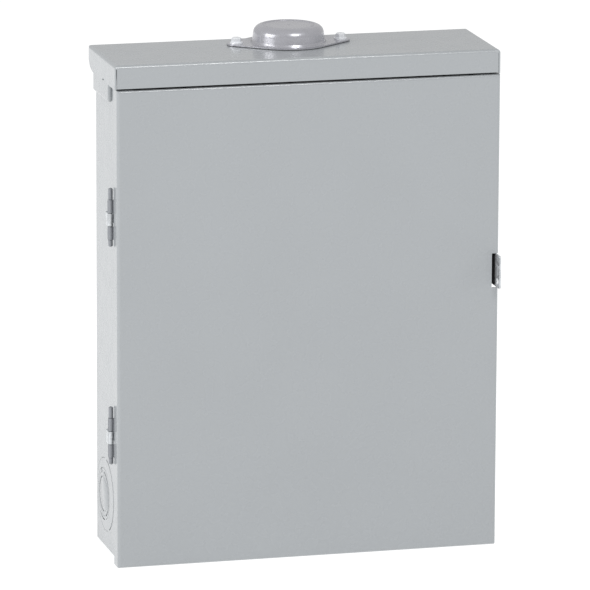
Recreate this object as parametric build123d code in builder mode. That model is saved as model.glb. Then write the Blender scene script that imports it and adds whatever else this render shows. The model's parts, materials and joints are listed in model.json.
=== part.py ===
from build123d import *
import math
import os

# Outdoor rainproof load center: a wall-mounted steel case with a hinged door, holding a
# plug-on breaker interior. Millimetres. X right, +Y into the wall, +Z up. The origin is the
# middle of the four wall holes, on the wall plane: the case stands in front of it, at -Y.

os.makedirs("parts", exist_ok=True)

# ---- driving dimensions -------------------------------------------------------------------
SHEET = 1.5                     # steel sheet of the case, hood, door and deadfront
GAP = 0.2                       # clearance between parts that are laid against each other

BOX_HALF_W = 181.8              # outside of the side walls
BOX_BOTTOM = -243.8             # underside of the bottom end wall
BOX_TOP = 243.8                 # top of the wrap, just under the hood's top sheet
BOX_FRONT = -101.0              # front of the in-turned lips
LIP = 10.5                      # width of those lips, with the sheet
BEND_R = 2.5                    # outside radius of the folds

DOOR_W = 377.6
DOOR_SHIFT = 1.8                # the door hangs this far towards the latch side
DOOR_BOTTOM = -246.0
DOOR_TOP = 221.3
DOOR_FRONT = -114.8
DOOR_FLANGE = 16.2              # depth of the side and bottom flanges
DOOR_BEND = 3.0
DOOR_CORNER = 8.0               # the top edge is plain sheet but for two short corner flanges
DOOR_LEFT = DOOR_SHIFT - DOOR_W / 2
DOOR_RIGHT = DOOR_SHIFT + DOOR_W / 2
DOOR_BACK = DOOR_FRONT + DOOR_FLANGE

HOOD_HALF_W = 189.5
HOOD_TOP = 245.5
HOOD_FLANGE = 22.4              # height of the front flange
HOOD_FRONT, HOOD_BACK = -116.2, -1.7
HOOD_BEND = 3.3                 # outside radius of the hood's folds
HOOD_SEAMS = {-1: 0.7, 1: 0.3}  # open corner between the front flange and each side flange
SIDE_DROP = 0.8                 # the side flanges hang lower than the front one
SIDE_BACK = -4.7
TAB_FRONT, TAB_BACK, TAB_BOTTOM = -70.0, -6.0, 201.0
TAB_THICK = 3.3                 # hemmed: the sheet folded back on itself
TAB_NOTCH = (-76.0, -63.5)      # gap in the side flange's lower edge, over a slot in the tab

HUB_Y = -37.8                   # centre of the conduit hub opening in the hood
HUB_HOLE_R = 31.5
HUB_SCREW_X = 51.7
GASKET = 0.6
FLANGE = 1.3                    # closing plate's flange
PLATE_R, EAR_R = 41.0, 9.2
PLATE_BACK = 37.2               # the plate's back edge is cut straight, clear of the wall
DOME_R, DOME_H, DOME_WALL = 34.9, 16.4, 2.2
DOME_FOOT = 1.0                 # flare where the dome meets the flange
DOME_SHOULDER = 9.0             # height and width of the rounding at the dome's top
DISC_R, DISC_SUNK = 25.0, 0.5   # sunk disc in the top of the dome

HINGE_X, HINGE_Y = -189.0, -94.3
KNUCKLE_R, PIN_R, RUNNING = 2.7, 1.55, 0.06
KNUCKLE = 12.9                  # length of one knuckle
KNUCKLE_GAP = 0.8                                # between one knuckle and the next
HINGE_MID_Z = {"upper": 93.0, "lower": -121.0}   # middle of each hinge's box knuckle
PIN_TOP, PIN_BOTTOM = 10.4, 6.0                  # headed ends beyond the knuckles
HINGE_NOTCH = -99.7                              # door flange cut back in front of a hinge

LATCH_LOW, LATCH_HIGH = 11.3, 45.0               # door's latch notch
LATCH_NOTCH_X = 183.8
LATCH_FLANGE_LOW = 7.0                           # the notch runs lower through the flange
HASP_X, HASP_T, HASP_TIP = 187.7, 1.5, -128.0
HASP_LOW, HASP_HIGH = 12.3, 44.4
PADLOCK_YZ, PADLOCK_R = (-120.5, 18.3), 3.6

# side knockouts: middle (y, z), radius, and the widely sheared arc from and to, in degrees
SIDE_KNOCKOUTS = (
    (-31.3, -193.0, 17.3, -96, 68),
    (-31.3, -193.0, 22.0, 94, 248),
    (-31.3, -193.0, 25.5, -99, -55),
    (-37.8, -192.0, 36.0, 98, 242),
)
TIE_DEGREES = 11                                 # metal left between the two arcs of a knockout
CUT_WIDE, CUT_NARROW = 1.3, 0.4
PRY_HOLE_YZ, PRY_HOLE_R = (-22.6, -170.6), 1.5
KNOCKOUT_CUT, KNOCKOUT_TIE = 0.5, 7.0            # for the plain ones in the back and bottom
WALL_HOLE_X, WALL_HOLE_Z, WALL_HOLE_R = 140.0, 180.0, 3.6

PAN_HALF_W, PAN_FRONT, PAN_SHEET = 102.0, -16.5, 1.2
PAN_LOW, PAN_HIGH = -182.0, 192.0
BUS_FACE = -26.8                                 # front of the moulded bus base
BUS_T = 3.0
ROWS, PITCH, ROW_LOW = 10, 25.4, -171.0          # plug-on spaces on each side

CASE_BACK, SHOULDER, NOSE = -42.5, -82.0, -96.0  # branch breaker depths
CASE_IN, CASE_OUT = 3.0, 77.0                    # from the middle line
NOSE_IN, NOSE_OUT = 9.0, 53.0
HANDLE_X, HANDLE_Y, HANDLE_R = 31.0, -88.0, 7.2
HANDLE_W, LEVER = 8.6, 19.5
THROW = 20.0                                     # lever's lean either side of straight out
AXLE_R, AXLE_L = 1.5, 1.6

MAIN_HALF_W, MAIN_LOW, MAIN_HIGH = 47.0, 91.0, 189.0
MAIN_BACK, MAIN_SHOULDER, MAIN_NOSE = -31.0, -84.0, -97.0
MAIN_Z, MAIN_Y, MAIN_R, MAIN_LEVER = 139.0, -86.0, 9.0, 21.5
MAIN_HANDLE_W = 15.0

COVER_FACE = -94.0                               # front of the deadfront's recessed field
COVER_HALF_W, COVER_TRAY_HALF_W = 178.0, 169.5
COVER_LOW, COVER_HIGH = -239.0, 238.0
COVER_TRAY_LOW, COVER_TRAY_HIGH = -228.5, 226.0

# (first row, poles) of the breakers on each side, counted from the top row down
LAYOUT = ((0, 2), (2, 1), (3, 1), (4, 1))


def save(piece, name):
    """Label a finished piece and write it as its own STEP."""
    piece.part.label = name
    export_step(piece.part, f"parts/{name}.step")


def between(x0, x1, y0, y1, z0, z1, mode=Mode.ADD):
    """A block between two corners, in the part being built."""
    with Locations(((x0 + x1) / 2, (y0 + y1) / 2, (z0 + z1) / 2)):
        Box(abs(x1 - x0), abs(y1 - y0), abs(z1 - z0), mode=mode)


def knockout_lines(plane, depth, rings):
    """Shear lines of knockouts, each (u, v, radius, turn): circles broken by two ties."""
    half = KNOCKOUT_CUT / 2
    with BuildPart() as cutter:
        for u, v, radius, turn in rings:
            centre = plane.from_local_coords((u, v, 0))
            with BuildSketch(Plane(centre, x_dir=plane.x_dir, z_dir=plane.z_dir)):
                Circle(radius + half)
                Circle(radius - half, mode=Mode.SUBTRACT)
                Rectangle(3 * radius, KNOCKOUT_TIE, rotation=turn, mode=Mode.SUBTRACT)
            extrude(amount=depth)
    return cutter.part


def arc_slot(y, z, radius, start, end, width):
    """A curved slot in a side wall's plane, from one angle to another."""
    with BuildSketch() as slot:
        with BuildLine():
            outer = CenterArc((y, z), radius + width / 2, start, end - start)
            inner = CenterArc((y, z), radius - width / 2, start, end - start)
            Line(outer @ 0, inner @ 0)
            Line(outer @ 1, inner @ 1)
        make_face()
    return slot.sketch


def eye_shape(grow):
    """Closing plate's outline: a circle round the dome drawn out to two screw ears."""
    with BuildSketch() as shape:
        Circle(PLATE_R + grow)
        with Locations((-HUB_SCREW_X, 0), (HUB_SCREW_X, 0)):
            Circle(EAR_R + grow)
        make_hull()
        with Locations((0, PLATE_BACK + 10)):
            Rectangle(200, 20, mode=Mode.SUBTRACT)
    return shape.sketch


# ---- case ---------------------------------------------------------------------------------
inner = BOX_HALF_W - SHEET
mouth = BOX_HALF_W - LIP
side_slots = []
for y, z, radius, start, end in SIDE_KNOCKOUTS:
    side_slots.append(arc_slot(y, z, radius, start, end, CUT_WIDE))
    side_slots.append(arc_slot(y, z, radius, end + TIE_DEGREES, start + 360 - TIE_DEGREES, CUT_NARROW))
back_rings = []
for x in (-142, 142):
    back_rings += [(x, -215, 11.1, 20), (x, -215, 14.0, 110), (x, 216, 11.1, 20)]
back_lines = knockout_lines(Plane.XZ.offset(-1), 4, back_rings)

with BuildPart() as enclosure_wrap:
    with BuildSketch(Plane.XY.offset(BOX_BOTTOM + SHEET)):
        with Locations((0, BOX_FRONT / 2)):
            RectangleRounded(2 * BOX_HALF_W, -BOX_FRONT, BEND_R)
            RectangleRounded(2 * inner, -BOX_FRONT - 2 * SHEET, BEND_R - SHEET, mode=Mode.SUBTRACT)
        with Locations((0, BOX_FRONT + SHEET / 2)):
            Rectangle(2 * mouth, 2 * SHEET, mode=Mode.SUBTRACT)
    extrude(amount=BOX_TOP - BOX_BOTTOM - SHEET)
    with BuildSketch(Plane.YZ.offset(-BOX_HALF_W - 1)):
        add(side_slots)
        with Locations(PRY_HOLE_YZ):
            Circle(PRY_HOLE_R)
    extrude(amount=2 * BOX_HALF_W + 2, mode=Mode.SUBTRACT)
    add(back_lines, mode=Mode.SUBTRACT)
    with BuildSketch(Plane.XZ.offset(-1)):
        with GridLocations(2 * WALL_HOLE_X, 2 * WALL_HOLE_Z, 2, 2):
            Circle(WALL_HOLE_R)
    extrude(amount=4, mode=Mode.SUBTRACT)
    # slots for the two hinge leaves and holes for the hasp rivets, deadfront and pan screws
    for z in HINGE_MID_Z.values():
        between(-BOX_HALF_W - 1, -inner + 1, -83.8, -81.4, z - 6.6, z + 6.6, Mode.SUBTRACT)
    with BuildSketch(Plane.YZ.offset(inner - 1)):
        with Locations((-70, HASP_LOW + 8), (-70, HASP_HIGH - 8)):
            Circle(2.1)
    extrude(amount=4, mode=Mode.SUBTRACT)
    with BuildSketch(Plane.XZ.offset(-BOX_FRONT - 2)):
        with GridLocations(2 * 174.6, 300, 2, 2):
            Circle(2.1)
    extrude(amount=3, mode=Mode.SUBTRACT)
    with BuildSketch(Plane.XZ.offset(-1)):
        with GridLocations(2 * 107, 300, 2, 2):
            Circle(2.1)
    extrude(amount=3, mode=Mode.SUBTRACT)
save(enclosure_wrap, "enclosure_wrap")

bottom_rings = []
for x in (-120, -60, 0, 60, 120):
    bottom_rings += [(x, 40, 11.1, 0), (x, 40, 14.2, 90)]
for x in (-90, 90):
    bottom_rings += [(x, 70, 17.3, 45), (x, 70, 22.2, 135)]
bottom_plane = Plane((0, 0, BOX_BOTTOM + 3), x_dir=(1, 0, 0), z_dir=(0, 0, -1))
bottom_lines = knockout_lines(bottom_plane, 6, bottom_rings)

with BuildPart() as bottom_end_wall:
    between(-BOX_HALF_W, BOX_HALF_W, BOX_FRONT, 0, BOX_BOTTOM, BOX_BOTTOM + SHEET)
    edges = bottom_end_wall.edges().filter_by(Axis.Z)
    fillet(edges, BEND_R)
    flange_top = BOX_BOTTOM + 14
    for side in (-1, 1):
        flange_x = inner - GAP
        between(side * flange_x, side * (flange_x - SHEET), BOX_FRONT + 12, -6, BOX_BOTTOM, flange_top)
    between(-inner + 6, inner - 6, -SHEET - GAP, -2 * SHEET - GAP, BOX_BOTTOM, flange_top)
    between(-mouth + GAP, mouth - GAP, BOX_FRONT, BOX_FRONT + SHEET, BOX_BOTTOM, flange_top)
    add(bottom_lines, mode=Mode.SUBTRACT)
save(bottom_end_wall, "bottom_end_wall")

# ---- drip hood ----------------------------------------------------------------------------
hood_low = HOOD_TOP - HOOD_FLANGE
side_low = hood_low - SIDE_DROP
inside = HOOD_HALF_W - SHEET
with BuildPart() as top_end_wall_hood:
    # a pan folded from one sheet, then its flanges trimmed and its corners opened
    between(-HOOD_HALF_W, HOOD_HALF_W, HOOD_FRONT, HOOD_BACK, side_low, HOOD_TOP)
    fillet(top_end_wall_hood.faces().sort_by(Axis.Z)[-1].edges(), HOOD_BEND)
    offset(amount=-SHEET, openings=top_end_wall_hood.faces().sort_by(Axis.Z)[0])
    between(-inside, inside, HOOD_FRONT - 1, HOOD_FRONT + SHEET, side_low - 1, hood_low, Mode.SUBTRACT)
    back_flange = inner - 6
    back_in = HOOD_BACK - SHEET
    between(-back_flange, back_flange, back_in, HOOD_BACK, side_low - 1, hood_low + 2, Mode.SUBTRACT)
    for side in (-1, 1):
        seam_top = HOOD_TOP - HOOD_BEND
        between(
            side * inside, side * (inside - HOOD_SEAMS[side]), HOOD_FRONT - 1, HOOD_FRONT + SHEET,
            side_low - 1, seam_top, Mode.SUBTRACT,
        )
        between(
            side * back_flange, side * (HOOD_HALF_W + 1), SIDE_BACK, 0, side_low - 1, HOOD_TOP - SHEET,
            Mode.SUBTRACT,
        )
        # the side flange's lower back corner is cropped, and its lower edge notched
        with BuildSketch(Plane.YZ.offset(side * HOOD_HALF_W - 3)):
            with BuildLine():
                Polyline((-20, side_low), (-10, side_low + 3), (SIDE_BACK, side_low + 9), (1, side_low + 9))
                Polyline((1, side_low + 9), (1, side_low - 1), (-20, side_low - 1), (-20, side_low))
            make_face()
            with Locations((sum(TAB_NOTCH) / 2, side_low)):
                SlotOverall(TAB_NOTCH[1] - TAB_NOTCH[0], 4.4)
        extrude(amount=6, mode=Mode.SUBTRACT)
        # hemmed tab that hooks down outside the case wall
        tab_middle = side * (BOX_HALF_W + GAP + TAB_THICK / 2)
        with BuildSketch(Plane.YZ.offset(tab_middle - TAB_THICK / 2)):
            with BuildLine():
                Polyline((TAB_FRONT, HOOD_TOP - 1), (TAB_FRONT, TAB_BOTTOM + 7))
                JernArc((TAB_FRONT, TAB_BOTTOM + 7), (0, -1), 7, 90)
                Polyline((TAB_FRONT + 7, TAB_BOTTOM), (TAB_BACK, TAB_BOTTOM), (TAB_BACK, HOOD_TOP - 1))
                Line((TAB_BACK, HOOD_TOP - 1), (TAB_FRONT, HOOD_TOP - 1))
            make_face()
            with Locations((TAB_NOTCH[1] - 3, hood_low - 1.5)):
                Rectangle(8, 6, mode=Mode.SUBTRACT)
        extrude(amount=TAB_THICK)
        tab_front = top_end_wall_hood.edges().filter_by_position(Axis.Y, TAB_FRONT, TAB_FRONT)
        fillet(tab_front.filter_by(Axis.Z).sort_by(Axis.X)[-1 if side > 0 else 0], TAB_THICK - 0.6)
    # rain lip the deadfront lies against
    between(-mouth + GAP, mouth - GAP, BOX_FRONT, BOX_FRONT + SHEET, COVER_TRAY_HIGH + 2, HOOD_TOP - 1)
    with BuildSketch(Plane.XY.offset(HOOD_TOP - 4)):
        with Locations((0, HUB_Y)):
            Circle(HUB_HOLE_R)
        with Locations((-HUB_SCREW_X, HUB_Y), (HUB_SCREW_X, HUB_Y)):
            Circle(2.3)
    extrude(amount=8, mode=Mode.SUBTRACT)
    for x in (-128, 128):
        between(x - 1.6, x + 1.6, SIDE_BACK, 1, HOOD_TOP - 7, HOOD_TOP + 1, Mode.SUBTRACT)
save(top_end_wall_hood, "top_end_wall_hood")


plate_low = HOOD_TOP + GASKET
dome_low = plate_low + FLANGE
dome_top = dome_low + DOME_H
shoulder_z = dome_top - DOME_SHOULDER + 0.6
plate_outline = eye_shape(0.0)
gasket_outline = eye_shape(-1.0)
with BuildPart() as hub_closing_plate:
    with BuildSketch(Plane((0, HUB_Y, plate_low))):
        add(plate_outline)
    extrude(amount=FLANGE)
    with BuildSketch(Plane(origin=(0, HUB_Y, 0), x_dir=(1, 0, 0), z_dir=(0, -1, 0))):
        with BuildLine():
            Line((0, plate_low), (DOME_R + DOME_FOOT, plate_low))
            Line((DOME_R + DOME_FOOT, plate_low), (DOME_R + DOME_FOOT, dome_low))
            Line((DOME_R + DOME_FOOT, dome_low), (DOME_R, dome_low + 2.2))
            Line((DOME_R, dome_low + 2.2), (DOME_R - 0.6, shoulder_z))
            TangentArc((DOME_R - 0.6, shoulder_z), (DOME_R - DOME_SHOULDER, dome_top), tangent=(0, 1))
            Line((DOME_R - DOME_SHOULDER, dome_top), (DISC_R + DISC_SUNK, dome_top))
            Line((DISC_R + DISC_SUNK, dome_top), (DISC_R, dome_top - DISC_SUNK))
            Line((DISC_R, dome_top - DISC_SUNK), (0, dome_top - DISC_SUNK))
            Line((0, dome_top - DISC_SUNK), (0, plate_low))
        make_face()
    revolve(axis=Axis((0, HUB_Y, 0), (0, 0, 1)))
    with BuildSketch(Plane(origin=(0, HUB_Y, 0), x_dir=(1, 0, 0), z_dir=(0, -1, 0))):
        hollow = DOME_R - DOME_WALL
        hollow_top = dome_top - DOME_WALL - DISC_SUNK
        hollow_round = DOME_SHOULDER - DOME_WALL
        with BuildLine():
            Line((0, plate_low - 1), (hollow, plate_low - 1))
            Line((hollow, plate_low - 1), (hollow, hollow_top - hollow_round))
            round_low = (hollow, hollow_top - hollow_round)
            TangentArc(round_low, (hollow - hollow_round, hollow_top), tangent=(0, 1))
            Line((hollow - hollow_round, hollow_top), (0, hollow_top))
            Line((0, hollow_top), (0, plate_low - 1))
        make_face()
    revolve(axis=Axis((0, HUB_Y, 0), (0, 0, 1)), mode=Mode.SUBTRACT)
    with BuildSketch(Plane.XY.offset(plate_low - 1)):
        with Locations((-HUB_SCREW_X, HUB_Y), (HUB_SCREW_X, HUB_Y)):
            Circle(2.8)
    extrude(amount=4, mode=Mode.SUBTRACT)
save(hub_closing_plate, "hub_closing_plate")

with BuildPart() as hub_gasket:
    with BuildSketch(Plane((0, HUB_Y, HOOD_TOP))):
        add(gasket_outline)
    extrude(amount=GASKET)
    with BuildSketch(Plane.XY.offset(HOOD_TOP - 1)):
        with Locations((0, HUB_Y)):
            Circle(HUB_HOLE_R + 1.5)
        with Locations((-HUB_SCREW_X, HUB_Y), (HUB_SCREW_X, HUB_Y)):
            Circle(2.8)
    extrude(amount=3, mode=Mode.SUBTRACT)
save(hub_gasket, "hub_gasket")

with BuildPart() as hub_screws:
    with BuildSketch(Plane.XY.offset(dome_low)):
        with Locations((-HUB_SCREW_X, HUB_Y), (HUB_SCREW_X, HUB_Y)):
            Circle(6.2)
    extrude(amount=1.2)
    with BuildSketch(Plane.XY.offset(dome_low + 1.2)):
        with Locations((-HUB_SCREW_X, HUB_Y), (HUB_SCREW_X, HUB_Y)):
            RegularPolygon(5.0, 6)
    extrude(amount=4.6)
    chamfer(hub_screws.edges().group_by(Axis.Z)[-1], 0.7)
    with BuildSketch(Plane.XY.offset(dome_low + 5.8)):
        with Locations((-HUB_SCREW_X, HUB_Y), (HUB_SCREW_X, HUB_Y)):
            Rectangle(11, 1.1)
    extrude(amount=-1.2, mode=Mode.SUBTRACT)
    with BuildSketch(Plane.XY.offset(HOOD_TOP - 9)):
        with Locations((-HUB_SCREW_X, HUB_Y), (HUB_SCREW_X, HUB_Y)):
            Circle(2.2)
    extrude(amount=dome_low - HOOD_TOP + 9)
save(hub_screws, "hub_screws")

# ---- door ---------------------------------------------------------------------------------
with BuildPart() as door_panel:
    between(DOOR_LEFT, DOOR_RIGHT, DOOR_FRONT, DOOR_BACK, DOOR_BOTTOM, DOOR_TOP)
    fillet(door_panel.edges().filter_by(Axis.Y), 1.0)
    front_edges = door_panel.faces().sort_by(Axis.Y)[0].edges()
    fillet(front_edges.sort_by(Axis.Z)[:-1], DOOR_BEND)
    between(
        DOOR_LEFT + SHEET, DOOR_RIGHT - SHEET, DOOR_FRONT + SHEET, 0,
        DOOR_BOTTOM + SHEET, DOOR_TOP - SHEET, Mode.SUBTRACT,
    )
    between(-mouth, mouth, DOOR_FRONT + SHEET, 0, 200, DOOR_TOP + 1, Mode.SUBTRACT)
    corner_back = DOOR_FRONT + DOOR_CORNER
    between(DOOR_LEFT + SHEET, DOOR_RIGHT - SHEET, corner_back, 0, 200, DOOR_TOP + 1, Mode.SUBTRACT)
    between(LATCH_NOTCH_X, DOOR_RIGHT + 1, DOOR_FRONT - 1, 0, LATCH_LOW, LATCH_HIGH, Mode.SUBTRACT)
    between(
        DOOR_RIGHT - 4.3, DOOR_RIGHT + 1, DOOR_FRONT + 2.5, 0,
        LATCH_FLANGE_LOW, LATCH_LOW + 1, Mode.SUBTRACT,
    )
    for z in HINGE_MID_Z.values():
        low, high = z - 1.5 * KNUCKLE - PIN_BOTTOM - 1.6, z + 1.5 * KNUCKLE + PIN_TOP + 1.6
        between(DOOR_LEFT - 1, DOOR_LEFT + 3, HINGE_NOTCH, 0, low, high, Mode.SUBTRACT)
save(door_panel, "door_panel")

with BuildPart() as directory_card:
    between(-70, 90, DOOR_FRONT + SHEET, DOOR_FRONT + SHEET + 0.3, -120, 120)
    fillet(directory_card.edges().filter_by(Axis.Y), 3)
save(directory_card, "directory_card")


# ---- hinges -------------------------------------------------------------------------------
for name, mid in HINGE_MID_Z.items():
    half = (KNUCKLE - KNUCKLE_GAP) / 2
    outside = HINGE_X - KNUCKLE_R
    with BuildPart() as box_leaf:
        # the strap leaves the knuckle's outer side, runs back, and bends in through the wall
        strap = 1.2
        with BuildSketch(Plane.XY.offset(mid - half)):
            with BuildLine():
                Polyline((outside, HINGE_Y), (outside, -86.2))
                JernArc((outside, -86.2), (0, 1), 4.2, -90)
                Polyline((outside + 4.2, -82.0), (-inner + 3, -82.0), (-inner + 3, -82.0 - strap))
                Line((-inner + 3, -82.0 - strap), (outside + 4.2, -82.0 - strap))
                JernArc((outside + 4.2, -82.0 - strap), (-1, 0), 3.0, 90)
                Polyline((outside + strap, -86.2), (outside + strap, HINGE_Y), (outside, HINGE_Y))
            make_face()
            with Locations((HINGE_X, HINGE_Y)):
                Circle(KNUCKLE_R)
                Circle(PIN_R + 0.02, mode=Mode.SUBTRACT)
        extrude(amount=2 * half)
        # foot welded to the inside of the wall
        between(-inner + GAP, -inner + GAP + strap, -83.2, -70, mid - half, mid + half)
    save(box_leaf, f"hinge_box_leaf_{name}")

    with BuildPart() as door_leaf:
        for side in (-1, 1):
            low, high = sorted((mid + side * (KNUCKLE + KNUCKLE_GAP) / 2, mid + side * 1.5 * KNUCKLE))
            with BuildSketch(Plane.XY.offset(low)):
                # the leaf runs back along the flange's inside and joins the knuckle's inner side
                leaf_x = DOOR_LEFT + SHEET
                with BuildLine():
                    Polyline(
                        (leaf_x, -111), (leaf_x, -97.4), (HINGE_X + 1.9, -95.9), (HINGE_X + 1.9, HINGE_Y),
                        (HINGE_X + 2.6, HINGE_Y), (leaf_x + 1.2, -96.6), (leaf_x + 1.2, -111), close=True,
                    )
                make_face()
                with Locations((HINGE_X, HINGE_Y)):
                    Circle(KNUCKLE_R)
                    Circle(PIN_R + RUNNING, mode=Mode.SUBTRACT)
            extrude(amount=high - low)
        between(
            leaf_x, leaf_x + 1.2, -111, -101.5,
            mid - 1.5 * KNUCKLE, mid + 1.5 * KNUCKLE,
        )
    save(door_leaf, f"hinge_door_leaf_{name}")

    with BuildPart() as hinge_pin:
        end = 1.5 * KNUCKLE + 0.6
        with BuildSketch(Plane(origin=(HINGE_X, HINGE_Y, mid - end))):
            Circle(PIN_R)
        extrude(amount=2 * end)
        with BuildSketch(Plane(origin=(HINGE_X, HINGE_Y, mid + end))):
            Circle(2.3)
        extrude(amount=PIN_TOP)
        with BuildSketch(Plane(origin=(HINGE_X, HINGE_Y, mid - end))):
            Circle(2.3)
        extrude(amount=-PIN_BOTTOM)
        chamfer(hinge_pin.edges().filter_by(GeomType.CIRCLE).group_by(Axis.Z)[-1], 0.6)
        chamfer(hinge_pin.edges().filter_by(GeomType.CIRCLE).group_by(Axis.Z)[0], 0.6)
    save(hinge_pin, f"hinge_pin_{name}")

# ---- latch hasp ---------------------------------------------------------------------------
with BuildPart() as latch_hasp:
    root = BOX_HALF_W
    with BuildSketch(Plane.XY.offset(HASP_LOW)):
        with BuildLine():
            Polyline(
                (root, -60), (root, -87), (HASP_X, -93), (HASP_X, HASP_TIP),
                (HASP_X + HASP_T, HASP_TIP), (HASP_X + HASP_T, -92.4),
                (root + HASP_T, -86.4), (root + HASP_T, -60), close=True,
            )
        make_face()
    extrude(amount=HASP_HIGH - HASP_LOW)
    fillet(latch_hasp.edges().filter_by(Axis.X).group_by(Axis.Y)[0], 2.4)
    with BuildSketch(Plane.YZ.offset(HASP_X - 3)):
        with Locations(PADLOCK_YZ):
            Circle(PADLOCK_R)
    extrude(amount=6, mode=Mode.SUBTRACT)
    with BuildSketch(Plane.YZ.offset(root - 1)):
        with Locations((-70, HASP_LOW + 8), (-70, HASP_HIGH - 8)):
            Circle(2.1)
    extrude(amount=4, mode=Mode.SUBTRACT)
save(latch_hasp, "latch_hasp")

with BuildPart() as hasp_rivets:
    with BuildSketch(Plane.YZ.offset(root + HASP_T)):
        with Locations((-70, HASP_LOW + 8), (-70, HASP_HIGH - 8)):
            Circle(3.6)
    extrude(amount=1.4)
    chamfer(hasp_rivets.edges().group_by(Axis.X)[-1], 0.8)
    with BuildSketch(Plane.YZ.offset(inner - 1.2)):
        with Locations((-70, HASP_LOW + 8), (-70, HASP_HIGH - 8)):
            Circle(2.0)
    extrude(amount=HASP_T + SHEET + 1.2)
save(hasp_rivets, "hasp_rivets")

# ---- interior pan and bus -----------------------------------------------------------------
foot_out = PAN_HALF_W + 11
with BuildPart() as interior_pan:
    between(-PAN_HALF_W, PAN_HALF_W, PAN_FRONT, PAN_FRONT + PAN_SHEET, PAN_LOW, PAN_HIGH)
    for side in (-1, 1):
        pan_in = PAN_HALF_W - PAN_SHEET
        between(side * PAN_HALF_W, side * pan_in, PAN_FRONT, -SHEET - GAP, PAN_LOW, PAN_HIGH)
        for z in (-150, 150):
            between(
                side * (PAN_HALF_W - PAN_SHEET), side * foot_out,
                -SHEET - GAP - PAN_SHEET, -SHEET - GAP, z - 14, z + 14,
            )
    with BuildSketch(Plane.XZ.offset(0)):
        with GridLocations(2 * 107, 300, 2, 2):
            Circle(2.1)
    extrude(amount=6, mode=Mode.SUBTRACT)
    with BuildSketch(Plane.XZ.offset(10)):
        with Locations((0, 178), (0, -178.5)):
            SlotOverall(60, 5)
    extrude(amount=10, mode=Mode.SUBTRACT)
save(interior_pan, "interior_pan")

foot_face = SHEET + GAP + PAN_SHEET
with BuildPart() as pan_screws:
    with BuildSketch(Plane.XZ.offset(foot_face)):
        with GridLocations(2 * 107, 300, 2, 2):
            Circle(4.2)
    extrude(amount=2.4)
    fillet(pan_screws.edges().group_by(Axis.Y)[0], 1.2)
    with BuildSketch(Plane.XZ.offset(0.2)):
        with GridLocations(2 * 107, 300, 2, 2):
            Circle(2.0)
    extrude(amount=foot_face - 0.2)
save(pan_screws, "pan_screws")

rows = [ROW_LOW + PITCH * (i + 0.5) for i in range(ROWS)]
with BuildPart() as bus_base:
    between(-46, 46, BUS_FACE, PAN_FRONT, ROW_LOW - 4, ROW_LOW + PITCH * ROWS + 6)
    fillet(bus_base.edges().filter_by(Axis.Y), 3)
    for z in [row - PITCH / 2 for row in rows[1:]]:
        between(-17, 17, -33, BUS_FACE, z - 1.2, z + 1.2)
    for x in (-42.5, 42.5):
        between(x - 1.5, x + 1.5, -33, BUS_FACE, ROW_LOW, ROW_LOW + PITCH * ROWS)
save(bus_base, "bus_base")

for name, side in (("a", -1), ("b", 1)):
    with BuildPart() as bus_bar:
        between(side * 38, side * 22, BUS_FACE - BUS_T, BUS_FACE, ROW_LOW + 4, MAIN_LOW + 22)
        for i, z in enumerate(rows):
            if i % 2 == (0 if name == "a" else 1):
                between(side * 23, -side * 12, BUS_FACE - BUS_T, BUS_FACE, z - 5, z + 5)
                between(-13, 13, BUS_FACE - BUS_T - 13, BUS_FACE - BUS_T, z - 0.9, z + 0.9)
    save(bus_bar, f"bus_bar_{name}")

for name, side in (("left", -1), ("right", 1)):
    with BuildPart() as rail:
        low, high = ROW_LOW - 2, ROW_LOW + PITCH * ROWS + 2
        between(side * 73, side * 86, PAN_FRONT - 1.5, PAN_FRONT, low, high)
        between(side * 80, side * 81.5, -40.8, PAN_FRONT, low, high)
        between(side * 72, side * 81.5, -42.2, -40.7, low, high)
    save(rail, f"breaker_rail_{name}")

# ---- neutral and ground -------------------------------------------------------------------
NEUTRAL_LOW, NEUTRAL_HIGH = -160.0, 164.0
bar_zs = [NEUTRAL_LOW + 9 + 11.5 * i for i in range(26)]
for name, side in (("left", -1), ("right", 1)):
    with BuildPart() as standoff:
        for z in (-130, 0, 130):
            between(side * 90, side * 101, -24, PAN_FRONT, z - 9, z + 9)
        fillet(standoff.edges().filter_by(Axis.Y), 1.5)
    save(standoff, f"neutral_standoff_{name}")
    with BuildPart() as neutral_bar:
        between(side * 90.5, side * 100.5, -35, -24, NEUTRAL_LOW, NEUTRAL_HIGH)
        with BuildSketch(Plane.YZ.offset(side * 95.5 - 6)):
            with Locations(*[(-28.5, z) for z in bar_zs]):
                Circle(2.4)
        extrude(amount=12, mode=Mode.SUBTRACT)
    save(neutral_bar, f"neutral_bar_{name}")

with BuildPart() as neutral_screws:
    for x in (-95.5, 95.5):
        with BuildSketch(Plane.XZ.offset(35)):
            with Locations(*[(x, z) for z in bar_zs]):
                Circle(3.0)
        extrude(amount=1.8)
    with BuildSketch(Plane.XZ.offset(36)):
        with Locations(*[(x, z) for z in bar_zs for x in (-95.5, 95.5)]):
            Rectangle(4.4, 0.9)
    extrude(amount=1, mode=Mode.SUBTRACT)
save(neutral_screws, "neutral_screws")

with BuildPart() as neutral_strap:
    between(-100, 100, -23.9, -21.4, 146, 160)
    between(-100, -90.5, -23.9, -21.4, 146, 190)
save(neutral_strap, "neutral_strap")

with BuildPart() as neutral_lug:
    between(-103, -80, -48, -24, 166, 190)
    chamfer(neutral_lug.edges().filter_by(Axis.Z), 2)
    with BuildSketch(Plane.XY.offset(160)):
        with Locations((-91.5, -35)):
            Circle(8)
    extrude(amount=40, mode=Mode.SUBTRACT)
    with BuildSketch(Plane.XZ.offset(40)):
        with Locations((-91.5, 178)):
            Circle(5)
    extrude(amount=12, mode=Mode.SUBTRACT)
save(neutral_lug, "neutral_lug")

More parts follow.
